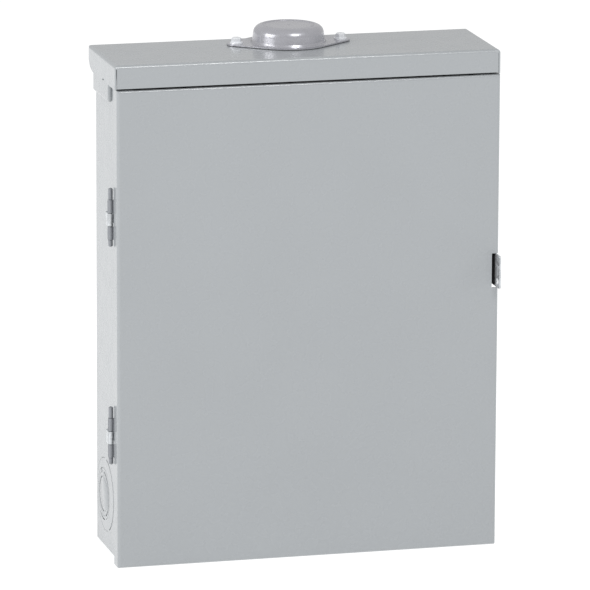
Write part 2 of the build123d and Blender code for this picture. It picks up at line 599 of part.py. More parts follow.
with BuildPart() as bonding_screw:
    with BuildSketch(Plane.XZ.offset(35)):
        with Locations((95.5, NEUTRAL_HIGH + 9)):
            Circle(4.5)
    extrude(amount=3)
    fillet(bonding_screw.edges().group_by(Axis.Y)[0], 1.4)
    with BuildSketch(Plane.XZ.offset(-PAN_FRONT)):
        with Locations((95.5, NEUTRAL_HIGH + 9)):
            Circle(2.4)
    extrude(amount=35 + PAN_FRONT)
    with BuildSketch(Plane.XZ.offset(39)):
        with Locations((95.5, NEUTRAL_HIGH + 9)):
            Rectangle(10, 1.1)
    extrude(amount=-2.2, mode=Mode.SUBTRACT)
save(bonding_screw, "bonding_screw")

ground_xs = [-54 + 12 * i for i in range(10)]
with BuildPart() as ground_bar:
    between(-62, 62, -13, -SHEET - GAP, -218, -207)
    with BuildSketch(Plane.XY.offset(-220)):
        with Locations(*[(x, -7) for x in ground_xs]):
            Circle(2.4)
    extrude(amount=15, mode=Mode.SUBTRACT)
save(ground_bar, "ground_bar")

with BuildPart() as ground_screws:
    with BuildSketch(Plane.XZ.offset(13)):
        with Locations(*[(x, -212.5) for x in ground_xs]):
            Circle(3.0)
    extrude(amount=1.8)
    with BuildSketch(Plane.XZ.offset(14)):
        with Locations(*[(x, -212.5) for x in ground_xs]):
            Rectangle(0.9, 7)
    extrude(amount=1, mode=Mode.SUBTRACT)
save(ground_screws, "ground_screws")

# ---- main breaker -------------------------------------------------------------------------
lug_x = 28.0
with BuildPart() as main_breaker_case:
    between(-MAIN_HALF_W, MAIN_HALF_W, MAIN_SHOULDER, MAIN_BACK, MAIN_LOW, MAIN_HIGH)
    fillet(main_breaker_case.edges().filter_by(Axis.Y), 3)
    chamfer(main_breaker_case.faces().sort_by(Axis.Y)[0].edges(), 1)
    between(-24, 24, MAIN_NOSE, MAIN_SHOULDER + 1, MAIN_Z - 27, MAIN_Z + 27)
    fillet(main_breaker_case.faces().sort_by(Axis.Y)[0].edges(), 1.2)
    # handle pocket: a round well with a slot to the front, and the axle bores
    half = MAIN_HANDLE_W / 2 + 0.5
    with BuildSketch(Plane.YZ.offset(-half)):
        with Locations((MAIN_Y, MAIN_Z)):
            Circle(MAIN_R + 0.6)
        with Locations(((MAIN_Y + MAIN_NOSE - 4) / 2, MAIN_Z)):
            Rectangle(MAIN_Y - MAIN_NOSE + 4, 2 * (MAIN_R + 0.6))
    extrude(amount=2 * half, mode=Mode.SUBTRACT)
    with BuildSketch(Plane.YZ.offset(-half - 2.2)):
        with Locations((MAIN_Y, MAIN_Z)):
            Circle(2.0 + RUNNING)
    extrude(amount=2 * half + 4.4, mode=Mode.SUBTRACT)
    for x in (-lug_x, lug_x):
        between(x - 10.5, x + 10.5, MAIN_SHOULDER - 1, -44, MAIN_HIGH - 22, MAIN_HIGH + 1, Mode.SUBTRACT)
    between(-40, 40, MAIN_BACK - 4, MAIN_BACK + 1, MAIN_LOW - 1, MAIN_LOW + 24, Mode.SUBTRACT)
save(main_breaker_case, "main_breaker_case")

with BuildPart() as main_breaker_lugs:
    for x in (-lug_x, lug_x):
        between(x - 10, x + 10, -70, -44.5, MAIN_HIGH - 21, MAIN_HIGH - 1)
    chamfer(main_breaker_lugs.edges().filter_by(Axis.Z), 1.5)
    with BuildSketch(Plane.XY.offset(MAIN_HIGH - 30)):
        with Locations((-lug_x, -55), (lug_x, -55)):
            Circle(7.5)
    extrude(amount=35, mode=Mode.SUBTRACT)
    with BuildSketch(Plane.XZ.offset(60)):
        with Locations((-lug_x, MAIN_HIGH - 11), (lug_x, MAIN_HIGH - 11)):
            Circle(5.05)
    extrude(amount=15, mode=Mode.SUBTRACT)
save(main_breaker_lugs, "main_breaker_lugs")

with BuildPart() as lug_screws:
    with BuildSketch(Plane.XZ.offset(63.5)):
        with Locations((-lug_x, MAIN_HIGH - 11), (lug_x, MAIN_HIGH - 11)):
            Circle(4.95)
            RegularPolygon(2.6, 6, major_radius=False, mode=Mode.SUBTRACT)
    extrude(amount=8)
    with BuildSketch(Plane.XZ.offset(62.5)):
        with Locations((-lug_x, MAIN_HIGH - 11), (lug_x, MAIN_HIGH - 11)):
            Circle(4.95)
    extrude(amount=1)
    with BuildSketch(Plane.XZ.offset(42)):
        with Locations((-91.5, 178)):
            Circle(4.95)
            RegularPolygon(2.6, 6, major_radius=False, mode=Mode.SUBTRACT)
    extrude(amount=7)
    with BuildSketch(Plane.XZ.offset(41.5)):
        with Locations((-91.5, 178)):
            Circle(4.95)
    extrude(amount=0.5)
save(lug_screws, "lug_screws")

with BuildPart() as main_breaker_handle:
    lean = Plane(
        origin=(-MAIN_HANDLE_W / 2, MAIN_Y, MAIN_Z),
        x_dir=(0, -math.cos(math.radians(THROW)), math.sin(math.radians(THROW))),
        z_dir=(1, 0, 0),
    )
    with BuildSketch(lean):
        Circle(MAIN_R)
        with Locations((MAIN_LEVER / 2, 0)):
            Trapezoid(8.5, MAIN_LEVER, 94, rotation=-90)
    extrude(amount=MAIN_HANDLE_W)
    fillet(main_breaker_handle.faces().filter_by(GeomType.PLANE).sort_by(Axis.Y)[0].edges(), 1.2)
    with BuildSketch(Plane.YZ.offset(-MAIN_HANDLE_W / 2 - 2)):
        with Locations((MAIN_Y, MAIN_Z)):
            Circle(2.0)
    extrude(amount=MAIN_HANDLE_W + 4)
save(main_breaker_handle, "main_breaker_handle")


# ---- branch breakers ----------------------------------------------------------------------
def row_middles(first, poles):
    """Heights of a breaker's poles, from the top row down."""
    return [rows[ROWS - 1 - first - pole] for pole in range(poles)]


def build_case(side, heights):
    """A plug-on breaker: body on the rail, nose through the deadfront, wells for the handles."""
    low, high = min(heights) - PITCH / 2 + 0.2, max(heights) + PITCH / 2 - 0.2
    with BuildPart() as case:
        between(side * CASE_IN, side * CASE_OUT, SHOULDER, CASE_BACK, low, high)
        chamfer(case.faces().sort_by(Axis.Y)[0].edges(), 0.8)
        between(side * NOSE_IN, side * NOSE_OUT, NOSE, SHOULDER + 1, low, high)
        chamfer(case.faces().sort_by(Axis.Y)[0].edges(), 0.8)
        for z in heights:
            half = HANDLE_W / 2 + 0.4
            with BuildSketch(Plane.XY.offset(z - half)):
                with Locations((side * HANDLE_X, HANDLE_Y)):
                    Circle(HANDLE_R + 0.6)
                with Locations((side * HANDLE_X, (HANDLE_Y + NOSE - 4) / 2)):
                    Rectangle(2 * (HANDLE_R + 0.6), HANDLE_Y - NOSE + 4)
            extrude(amount=2 * half, mode=Mode.SUBTRACT)
            with BuildSketch(Plane.XY.offset(z - half - AXLE_L - 0.4)):
                with Locations((side * HANDLE_X, HANDLE_Y)):
                    Circle(AXLE_R + RUNNING)
            extrude(amount=2 * (half + AXLE_L + 0.4), mode=Mode.SUBTRACT)
            # slot for the bus stab, wire entry, and the terminal screw's well
            between(side * 2, side * 15, CASE_BACK + 1, CASE_BACK - 8, z - 2, z + 2, Mode.SUBTRACT)
            with BuildSketch(Plane.YZ.offset(side * CASE_OUT - 8)):
                with Locations((-62, z)):
                    Circle(4.2)
            extrude(amount=16, mode=Mode.SUBTRACT)
            with BuildSketch(Plane.XZ.offset(-SHOULDER - 6)):
                with Locations((side * 68, z)):
                    Circle(5)
            extrude(amount=8, mode=Mode.SUBTRACT)
    return case


def build_handle(side, heights):
    """One lever for each pole, leaning to ON, tied across when there are two."""
    lean_x = -side * math.sin(math.radians(THROW))
    with BuildPart() as handle:
        for z in heights:
            lean = Plane(
                origin=(side * HANDLE_X, HANDLE_Y, z - HANDLE_W / 2),
                x_dir=(lean_x, -math.cos(math.radians(THROW)), 0),
                z_dir=(0, 0, 1),
            )
            with BuildSketch(lean):
                Circle(HANDLE_R)
                with Locations((LEVER / 2, 0)):
                    Trapezoid(6.4, LEVER, 95, rotation=-90)
            extrude(amount=HANDLE_W)
            with BuildSketch(Plane(origin=(side * HANDLE_X, HANDLE_Y, z - HANDLE_W / 2 - AXLE_L))):
                Circle(AXLE_R)
            extrude(amount=HANDLE_W + 2 * AXLE_L)
        if len(heights) > 1:
            tie = Plane(
                origin=(side * HANDLE_X, HANDLE_Y, min(heights)),
                x_dir=(lean_x, -math.cos(math.radians(THROW)), 0),
                z_dir=(0, 0, 1),
            )
            with BuildSketch(tie):
                with Locations((LEVER - 2.6, 0)):
                    Rectangle(4.6, 3.6)
            extrude(amount=PITCH * (len(heights) - 1))
    return handle


number = 0
terminals = []
for side, column in ((-1, "left"), (1, "right")):
    for first, poles in LAYOUT:
        number += 1
        heights = row_middles(first, poles)
        terminals += [(side * 68, z) for z in heights]
        save(build_case(side, heights), f"breaker_case_{number}")
        save(build_handle(side, heights), f"breaker_handle_{number}")

with BuildPart() as terminal_screws:
    well = -SHOULDER - 6
    with BuildSketch(Plane.XZ.offset(well)):
        with Locations(*terminals):
            Circle(4.4)
    extrude(amount=2.2)
    with BuildSketch(Plane.XZ.offset(well + 2.2)):
        with Locations(*terminals):
            Rectangle(6.6, 1.1)
            Rectangle(1.1, 6.6)
    extrude(amount=-1.2, mode=Mode.SUBTRACT)
save(terminal_screws, "terminal_screws")

# ---- deadfront ----------------------------------------------------------------------------
field = SHEET
window_low = rows[ROWS - 5] - PITCH / 2 - 0.6
window_high = rows[-1] + PITCH / 2 + 0.6
with BuildPart() as deadfront_cover:
    # flange on the case's lips, walls of the tray, recessed field
    between(-COVER_HALF_W, COVER_HALF_W, BOX_FRONT - SHEET, BOX_FRONT, COVER_LOW, COVER_HIGH)
    fillet(deadfront_cover.edges().filter_by(Axis.Y), 4)
    between(
        -COVER_TRAY_HALF_W, COVER_TRAY_HALF_W, BOX_FRONT, COVER_FACE + field,
        COVER_TRAY_LOW, COVER_TRAY_HIGH,
    )
    between(
        -COVER_TRAY_HALF_W + SHEET, COVER_TRAY_HALF_W - SHEET, BOX_FRONT - 3, COVER_FACE,
        COVER_TRAY_LOW + SHEET, COVER_TRAY_HIGH - SHEET, Mode.SUBTRACT,
    )
    for side in (-1, 1):
        between(
            side * (NOSE_IN - 0.8), side * (NOSE_OUT + 0.8), COVER_FACE - 1, COVER_FACE + 3,
            window_low, window_high, Mode.SUBTRACT,
        )
    between(-24.8, 24.8, COVER_FACE - 1, COVER_FACE + 3, MAIN_Z - 27.8, MAIN_Z + 27.8, Mode.SUBTRACT)
    # shear lines of the twist-outs over the spare spaces, each with its screwdriver slot
    spares = [(side * (NOSE_IN + NOSE_OUT) / 2, z) for side in (-1, 1) for z in rows[: ROWS - 5]]
    with BuildSketch(Plane.XZ.offset(-COVER_FACE)):
        with Locations(*spares):
            Rectangle(44.6, PITCH - 1.0)
            Rectangle(43.8, PITCH - 1.8, mode=Mode.SUBTRACT)
    extrude(amount=-0.5, mode=Mode.SUBTRACT)
    with BuildSketch(Plane.XZ.offset(-COVER_FACE + 1)):
        with Locations(*spares):
            SlotOverall(9, 2.4)
        with GridLocations(2 * 174.6, 300, 2, 2):
            Circle(2.1)
    extrude(amount=-4, mode=Mode.SUBTRACT)
    with BuildSketch(Plane.XZ.offset(-BOX_FRONT - 1)):
        with GridLocations(2 * 174.6, 300, 2, 2):
            Circle(2.2)
    extrude(amount=4, mode=Mode.SUBTRACT)
save(deadfront_cover, "deadfront_cover")

with BuildPart() as deadfront_screws:
    with BuildSketch(Plane.XZ.offset(-BOX_FRONT + SHEET)):
        with GridLocations(2 * 174.6, 300, 2, 2):
            Circle(3.2)
    extrude(amount=2.4)
    fillet(deadfront_screws.edges().group_by(Axis.Y)[0], 1.0)
    with BuildSketch(Plane.XZ.offset(-BOX_FRONT - 6)):
        with GridLocations(2 * 174.6, 300, 2, 2):
            Circle(2.0)
    extrude(amount=SHEET + 6)
    with BuildSketch(Plane.XZ.offset(-BOX_FRONT + SHEET + 2.5)):
        with GridLocations(2 * 174.6, 300, 2, 2):
            Rectangle(8, 1.0)
    extrude(amount=-1.1, mode=Mode.SUBTRACT)
save(deadfront_screws, "deadfront_screws")
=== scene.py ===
import json
import math

import bmesh
import bpy
from mathutils import Matrix, Vector


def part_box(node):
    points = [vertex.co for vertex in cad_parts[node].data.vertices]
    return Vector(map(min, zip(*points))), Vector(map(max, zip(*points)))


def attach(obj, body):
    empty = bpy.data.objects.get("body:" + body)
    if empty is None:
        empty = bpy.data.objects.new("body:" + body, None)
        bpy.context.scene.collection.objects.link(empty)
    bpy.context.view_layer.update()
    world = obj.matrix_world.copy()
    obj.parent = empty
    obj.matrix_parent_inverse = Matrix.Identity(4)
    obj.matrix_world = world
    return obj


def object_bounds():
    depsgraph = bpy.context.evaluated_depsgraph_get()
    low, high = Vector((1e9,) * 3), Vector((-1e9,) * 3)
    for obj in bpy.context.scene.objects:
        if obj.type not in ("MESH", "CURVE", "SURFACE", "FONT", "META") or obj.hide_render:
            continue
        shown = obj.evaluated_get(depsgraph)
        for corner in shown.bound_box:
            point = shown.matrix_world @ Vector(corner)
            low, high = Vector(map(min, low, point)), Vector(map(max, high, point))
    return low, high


MM = 0.001
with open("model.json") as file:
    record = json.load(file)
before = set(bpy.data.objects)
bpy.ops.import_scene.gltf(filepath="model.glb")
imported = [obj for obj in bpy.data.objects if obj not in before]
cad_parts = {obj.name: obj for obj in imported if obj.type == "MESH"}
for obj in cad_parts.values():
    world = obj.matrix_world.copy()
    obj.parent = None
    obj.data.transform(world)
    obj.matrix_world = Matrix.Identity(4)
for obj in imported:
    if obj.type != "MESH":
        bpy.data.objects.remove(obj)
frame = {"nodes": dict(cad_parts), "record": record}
nodes = frame["nodes"]
cad_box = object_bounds()
low = cad_box[0]

# ---- camera and light -----------------------------------------------------------------------
YAW, TILT, ROLL = math.radians(14.641), math.radians(12.946), math.radians(0.2533)
CAMERA_AT = Vector((-1.4735, -5.7073, 1.3432))
SENSOR_MM, LENS_MM = 36, 377.65


def make_camera():
    """A long lens from the left and a little above, as a product photographer would stand."""
    data = bpy.data.cameras.new("camera")
    data.sensor_width = SENSOR_MM
    data.lens = LENS_MM
    data.clip_end = 100
    camera = bpy.data.objects.new("camera", data)
    turn = Matrix.Rotation(-YAW, 4, "Z") @ Matrix.Rotation(math.pi / 2 - TILT, 4, "X")
    camera.matrix_world = Matrix.Translation(CAMERA_AT) @ turn @ Matrix.Rotation(ROLL, 4, "Z")
    bpy.context.scene.collection.objects.link(camera)
    bpy.context.scene.camera = camera


def make_light(name, at, size, watts):
    """A soft box aimed at the middle of the object."""
    data = bpy.data.lights.new(name, "AREA")
    data.shape = "RECTANGLE"
    data.size, data.size_y = size
    data.energy = watts
    lamp = bpy.data.objects.new(name, data)
    lamp.location = at
    lamp.rotation_euler = (-Vector(at)).to_track_quat("-Z", "Y").to_euler()
    bpy.context.scene.collection.objects.link(lamp)


def make_world(strength):
    """Even white walls and ceiling all round."""
    world = bpy.data.worlds.new("studio")
    world.use_nodes = True
    background = world.node_tree.nodes["Background"]
    background.inputs["Color"].default_value = (1, 1, 1, 1)
    background.inputs["Strength"].default_value = strength
    bpy.context.scene.world = world


make_camera()
make_light("key", (-1.5, -0.3, 0.72), (0.9, 0.9), 9.5)
make_light("fill", (0.45, -2.2, 2.3), (0.9, 0.9), 31)
make_world(0.62)
bpy.context.scene.view_settings.view_transform = "Standard"


# ---- materials ------------------------------------------------------------------------------
def linear(value):
    """One sRGB channel, 0 to 255, as linear light."""
    value /= 255
    return value / 12.92 if value <= 0.04045 else ((value + 0.055) / 1.055) ** 2.4


def color(red, green, blue):
    return (linear(red), linear(green), linear(blue), 1.0)


FIELD_LOW, FIELD_HIGH = 0.25, 0.75      # where nearly all of a noise field lies


class Finish:
    """A Principled material whose colour, roughness and bump come from small node chains."""

    def __init__(self, name, base, rough, metal=0.0, coat=0.0, coat_rough=0.1):
        self.material = bpy.data.materials.new(name)
        self.material.use_nodes = True
        self.tree = self.material.node_tree
        self.shader = self.tree.nodes["Principled BSDF"]
        self.base, self.rough = base, rough
        self.shader.inputs["Base Color"].default_value = base
        self.shader.inputs["Roughness"].default_value = rough
        self.shader.inputs["Metallic"].default_value = metal
        self.shader.inputs["Coat Weight"].default_value = coat
        self.shader.inputs["Coat Roughness"].default_value = coat_rough
        self.normal = None
        self.tone = None
        self.place = self.tree.nodes.new("ShaderNodeTexCoord").outputs["Object"]

    def node(self, kind, **inputs):
        made = self.tree.nodes.new(kind)
        for name, value in inputs.items():
            socket = made.inputs[name.replace("_", " ")]
            if isinstance(value, bpy.types.NodeSocket):
                self.tree.links.new(value, socket)
            else:
                socket.default_value = value
        return made

    def noise(self, per_metre, detail=2.0, stretch=(1, 1, 1)):
        scaled = self.node("ShaderNodeMapping", Vector=self.place, Scale=Vector(stretch) * per_metre)
        made = self.node("ShaderNodeTexNoise", Vector=scaled.outputs[0], Scale=1.0, Detail=detail)
        return made.outputs["Fac"]

    def cells(self, per_metre):
        scaled = self.node("ShaderNodeMapping", Vector=self.place, Scale=Vector((1, 1, 1)) * per_metre)
        return self.node("ShaderNodeTexVoronoi", Vector=scaled.outputs[0], Scale=1.0).outputs["Color"]

    def spread(self, field, lowest, highest):
        """A 0..1 field stretched to lie between two values."""
        ranged = self.node("ShaderNodeMapRange", Value=field)
        ranged.inputs["From Min"].default_value = FIELD_LOW
        ranged.inputs["From Max"].default_value = FIELD_HIGH
        ranged.inputs["To Min"].default_value = lowest
        ranged.inputs["To Max"].default_value = highest
        return ranged.outputs[0]

    def shade(self, field, amount):
        """The base colour made up to amount darker and lighter by the field."""
        scale = self.spread(field, 1 - amount, 1 + amount)
        scaled = self.tree.nodes.new("ShaderNodeVectorMath")
        scaled.operation = "SCALE"
        scaled.inputs[0].default_value = self.base[:3]
        self.tree.links.new(scale, scaled.inputs["Scale"])
        self.tree.links.new(scaled.outputs[0], self.shader.inputs["Base Color"])
        self.tone = scaled

    def darken(self, at, reach_mm, amount):
        """A soft-edged dark patch of painted shade round a point: the shaded colour is darker there."""
        away = self.tree.nodes.new("ShaderNodeVectorMath")
        away.operation = "DISTANCE"
        self.tree.links.new(self.place, away.inputs[0])
        away.inputs[1].default_value = at
        fade = self.node("ShaderNodeMapRange", Value=away.outputs["Value"])
        fade.interpolation_type = "SMOOTHSTEP"
        fade.inputs["From Max"].default_value = reach_mm * MM
        fade.inputs["To Min"].default_value = 1 - amount
        scaled = self.tree.nodes.new("ShaderNodeVectorMath")
        scaled.operation = "SCALE"
        self.tree.links.new(self.tone.outputs[0], scaled.inputs[0])
        self.tree.links.new(fade.outputs[0], scaled.inputs["Scale"])
        self.tree.links.new(scaled.outputs[0], self.shader.inputs["Base Color"])

    def rub(self, field, amount):
        """Roughness varied either side of its own value by the field."""
        varied = self.spread(field, self.rough - amount, self.rough + amount)
        self.tree.links.new(varied, self.shader.inputs["Roughness"])

    def bump(self, field, height_mm, strength=1.0):
        """The surface raised by the field, in millimetres, on top of any earlier bump."""
        bump = self.node("ShaderNodeBump", Height=field, Distance=height_mm * MM, Strength=strength)
        if self.normal is not None:
            self.tree.links.new(self.normal, bump.inputs["Normal"])
        self.normal = bump.outputs[0]
        self.tree.links.new(self.normal, self.shader.inputs["Normal"])


def enamel(name, base, rough=0.27, painted_shade=None):
    """Baked enamel on sheet steel: faint orange peel, fainter waves in the sheet, cloudy gloss."""
    paint = Finish(name, base, rough, coat=0.4, coat_rough=0.08)
    paint.shade(paint.noise(14, 3), 0.012)
    # painted shade: an optional soft dark patch in the paint's colour
    if painted_shade:
        paint.darken(*painted_shade)
    paint.rub(paint.noise(60, 3), 0.05)
    paint.bump(paint.noise(700, 2), 0.003)
    paint.bump(paint.noise(7, 1), 0.03)
    return paint.material


def galvanised(name):
    """Zinc-dipped sheet with its spangle."""
    zinc = Finish(name, color(202, 205, 208), 0.36, metal=0.5)
    zinc.shade(zinc.cells(260), 0.12)
    zinc.rub(zinc.cells(260), 0.10)
    zinc.bump(zinc.noise(700, 3), 0.006)
    return zinc.material


def plated(name, base, rough, metal_part=1.0):
    """Bright plated or plain machined metal with fine drawing marks."""
    metal = Finish(name, base, rough, metal=metal_part)
    metal.shade(metal.noise(300, 4), 0.08)
    metal.rub(metal.noise(1400, 2, (1, 1, 0.08)), 0.06)
    metal.bump(metal.noise(2400, 2, (1, 1, 0.1)), 0.004)
    return metal.material


def cast_metal(name):
    """Satin die casting with a fine grain."""
    cast = Finish(name, color(176, 176, 182), 0.27, metal=0.5, coat=0.3, coat_rough=0.15)
    cast.shade(cast.noise(90, 5), 0.05)
    cast.rub(cast.noise(240, 4), 0.08)
    cast.bump(cast.noise(1300, 4), 0.02)
    return cast.material


def moulding(name, base, rough, grain=0.012):
    """Moulded plastic with a spark-eroded grain."""
    plastic = Finish(name, base, rough)
    plastic.shade(plastic.noise(40, 3), 0.05)
    plastic.rub(plastic.noise(300, 2), 0.05)
    plastic.bump(plastic.noise(2600, 2), grain)
    return plastic.material


def card_stock(name):
    """Uncoated card: fibres and a slight mottle."""
    card = Finish(name, color(240, 240, 235), 0.75)
    card.shade(card.noise(220, 5), 0.03)
    card.bump(card.noise(3000, 4, (1, 1, 0.3)), 0.01)
    return card.material


def rubber(name):
    black = Finish(name, color(38, 38, 40), 0.8)
    black.shade(black.noise(200, 4), 0.15)
    black.bump(black.noise(1600, 3), 0.02)
    return black.material


CASE_GREY = color(160, 164, 167)
finishes = {
    "case_enamel": enamel("case_enamel", CASE_GREY),
    "deadfront_enamel": enamel("deadfront_enamel", color(163, 167, 170), 0.34),
    "die_cast": cast_metal("die_cast"),
    "bright_zinc": plated("bright_zinc", color(238, 240, 243), 0.24, 0.3),
    "galvanised": galvanised("galvanised"),
    "gasket_rubber": rubber("gasket_rubber"),
    "card": card_stock("card"),
    "bus_moulding": moulding("bus_moulding", color(52, 52, 55), 0.5),
    "bus_metal": plated("bus_metal", color(196, 198, 200), 0.3),
    "lug_metal": plated("lug_metal", color(188, 190, 193), 0.36),
    "standoff_moulding": moulding("standoff_moulding", color(228, 228, 224), 0.5),
    "green_screw": moulding("green_screw", color(36, 128, 66), 0.3),
    "breaker_black": moulding("breaker_black", color(38, 38, 40), 0.46, 0.02),
    "handle_black": moulding("handle_black", color(28, 28, 30), 0.28, 0.006),
}
extras = {
    "ink_dark": moulding("ink_dark", color(44, 46, 50), 0.6, 0.004),
    "ink_pale": moulding("ink_pale", color(226, 227, 224), 0.55, 0.004),
    # a darker copy of the case paint: painted shade for the hinges
    "hinge_shaded_enamel": enamel("hinge_shaded_enamel", color(141, 144, 149), 0.4),
}
slot_of = {part["node"]: part["material_slot"] for part in frame["record"]["subparts"]}
for name, cad_node in nodes.items():
    cad_node.data.materials.clear()
    cad_node.data.materials.append(finishes[slot_of[name]])
# painted shade: the door's colour is darkened in a soft patch beside its latch
SHADE_REACH, SHADE_DEPTH = 26, 0.06
hasp_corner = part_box("latch_hasp")[0]
shade_at = Vector((hasp_corner.x - 18 * MM, low.y, hasp_corner.z + 10 * MM))
painted_shade = (shade_at, SHADE_REACH, SHADE_DEPTH)
nodes["door_panel"].data.materials[0] = enamel("door_enamel", CASE_GREY, painted_shade=painted_shade)
# painted shade: the hinges get a duller, darker copy of the same paint, standing in for the shadow round
# the knuckles
for name in ("pin_upper", "pin_lower", "door_leaf_upper", "door_leaf_lower"):
    nodes[f"hinge_{name}"].data.materials[0] = extras["hinge_shaded_enamel"]


# ---- floor ----------------------------------------------------------------------------------
def make_floor():
    """A wide pale floor under the object, with a glow of its own that keeps it near white."""
    bpy.ops.mesh.primitive_plane_add(size=40, location=(0, 0, low.z))
    floor = bpy.context.object
    floor.name = "floor"
    white = Finish("floor_white", (0.5, 0.5, 0.5, 1), 0.9)
    white.shade(white.noise(3, 2), 0.004)
    white.shader.inputs["Emission Color"].default_value = (1, 1, 1, 1)
    white.shader.inputs["Emission Strength"].default_value = 0.70
    floor.data.materials.append(white.material)


make_floor()


# ---- detail pieces: helpers -----------------------------------------------------------------
# the across and up directions of each face that detail is laid on; levers lean by half their throw
LEAN = math.radians(20)
FACINGS = {
    "left_lever": ((math.cos(LEAN), math.sin(LEAN), 0), (0, 0, 1)),
    "right_lever": ((math.cos(LEAN), -math.sin(LEAN), 0), (0, 0, 1)),
    "main_lever": ((1, 0, 0), (0, math.sin(LEAN), math.cos(LEAN))),
    "up": ((1, 0, 0), (0, 1, 0)),
    "down": ((1, 0, 0), (0, -1, 0)),
    "front": ((1, 0, 0), (0, 0, 1)),
    "back": ((-1, 0, 0), (0, 0, 1)),
    "right": ((0, 1, 0), (0, 0, 1)),
    "left": ((0, -1, 0), (0, 0, 1)),
}


def on_face(facing, at):
    """The matrix from (across, up, out) millimetres on a face to the shared frame in metres."""
    across, up = (Vector(direction) for direction in FACINGS[facing])
    turn = Matrix((across, up, across.cross(up))).transposed().to_4x4()
    return Matrix.Translation(Vector(at) * MM) @ turn @ Matrix.Scale(MM, 4)


def rounded(half_u=0.0, half_v=0.0, radius=0.0, steps=12):
    """A rounded rectangle as (point, outward) pairs. With no sizes it turns about one point."""
    loop = []
    for corner, (u_side, v_side) in enumerate(((1, 1), (-1, 1), (-1, -1), (1, -1))):
        for step in range(steps + 1):
            angle = (corner + step / steps) * math.pi / 2
            outward = Vector((math.cos(angle), math.sin(angle)))
            middle = Vector((u_side * (half_u - radius), v_side * (half_v - radius)))
            loop.append((middle + radius * outward, outward))
    return loop


def box_mm(node):
    """A CAD node's lowest and highest corners in millimetres."""
    return [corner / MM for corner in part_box(node)]


SHARP = math.radians(35)                # folds steeper than this stay crisp
WELD = 0.001                            # points closer than this are one point
LEAST_RADIUS, PAD_STEPS = 0.01, 4


class Piece:
    """One piece of detail, gathered from small swept and raised shapes, in millimetres."""

    def __init__(self, name, finish, body="enclosure"):
        self.name, self.finish, self.body = name, finish, body
        self.mesh = bmesh.new()

    def swept(self, loop, profile, facing, at):
        """A closed profile of (outward, height) carried round a loop."""
        matrix = on_face(facing, at)
        rings = []
        for point, outward in loop:
            flat = [(point + outward * out, rise) for out, rise in profile]
            rings.append([self.mesh.verts.new(matrix @ Vector((*spot, rise))) for spot, rise in flat])
        for i, ring in enumerate(rings):
            after = rings[(i + 1) % len(rings)]
            for j in range(len(profile)):
                k = (j + 1) % len(profile)
                self.mesh.faces.new((ring[j], after[j], after[k], ring[k]))

    def turned(self, profile, facing, at, steps=12):
        """A closed profile of (radius, height) spun round an axis that stands on a face."""
        self.swept(rounded(steps=steps), profile, facing, at)

    def pad(self, half_u, half_v, radius, height, facing, at, ease=0.0):
        """A flat raised pad with rounded corners and an eased top edge."""
        matrix = on_face(facing, at)
        rings = []
        for inset, rise in ((0, 0), (0, height - ease), (ease, height)):
            corner = max(radius - inset, LEAST_RADIUS)
            loop = rounded(half_u - inset, half_v - inset, corner, PAD_STEPS)
            rings.append([self.mesh.verts.new(matrix @ Vector((*point, rise))) for point, _ in loop])
        for lower, upper in zip(rings, rings[1:]):
            for i in range(len(lower)):
                k = (i + 1) % len(lower)
                self.mesh.faces.new((lower[i], lower[k], upper[k], upper[i]))
        self.mesh.faces.new(rings[0])
        self.mesh.faces.new(rings[-1])

    def figures(self, text, size, facing, at, thick=0.1):
        """A number or mark in plain raised figures, centred on a point."""
        curve = bpy.data.curves.new("figures", "FONT")
        curve.body = text
        curve.size, curve.extrude = size, thick / 2
        curve.align_x, curve.align_y = "CENTER", "CENTER"
        holder = bpy.data.objects.new("figures", curve)
        raised = bpy.data.meshes.new_from_object(holder)
        raised.transform(on_face(facing, at))
        self.mesh.from_mesh(raised)
        bpy.data.objects.remove(holder)
        bpy.data.curves.remove(curve)
        bpy.data.meshes.remove(raised)

    def done(self):
        """Closes the mesh, gives it its finish, and lets it ride on its body."""
        bmesh.ops.remove_doubles(self.mesh, verts=self.mesh.verts, dist=WELD * MM)
        loose = [edge for edge in self.mesh.edges if not edge.link_faces]
        bmesh.ops.delete(self.mesh, geom=loose, context="EDGES")
        bmesh.ops.recalc_face_normals(self.mesh, faces=self.mesh.faces)
        data = bpy.data.meshes.new(self.name)
        self.mesh.to_mesh(data)
        self.mesh.free()
        data.shade_smooth()
        data.set_sharp_from_angle(angle=SHARP)
        made = bpy.data.objects.new(self.name, data)
        bpy.context.scene.collection.objects.link(made)
        data.materials.append(finishes.get(self.finish) or extras[self.finish])
        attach(made, self.body)


def bead(width, height):
    """The profile of a low rounded bead, its foot a little wider than its crown."""
    half = width / 2
    return [(half, 0), (0.8 * half, 0.55 * height), (0.4 * half, 0.92 * height), (0, height),
            (-0.4 * half, 0.92 * height), (-0.8 * half, 0.55 * height), (-half, 0)]


def dimple(radius, height):
    """The profile of a spot weld: a low ring round a sunk middle."""
    return [(0, 0.2 * height), (0.45 * radius, 0.25 * height), (0.7 * radius, height),
            (0.88 * radius, 0.8 * height), (radius, 0), (0, 0)]


def button(radius, height):
    """The profile of a raised round face with a sloped rim."""
    return [(0, height), (radius - 0.5, height), (radius, 0), (0, 0)]


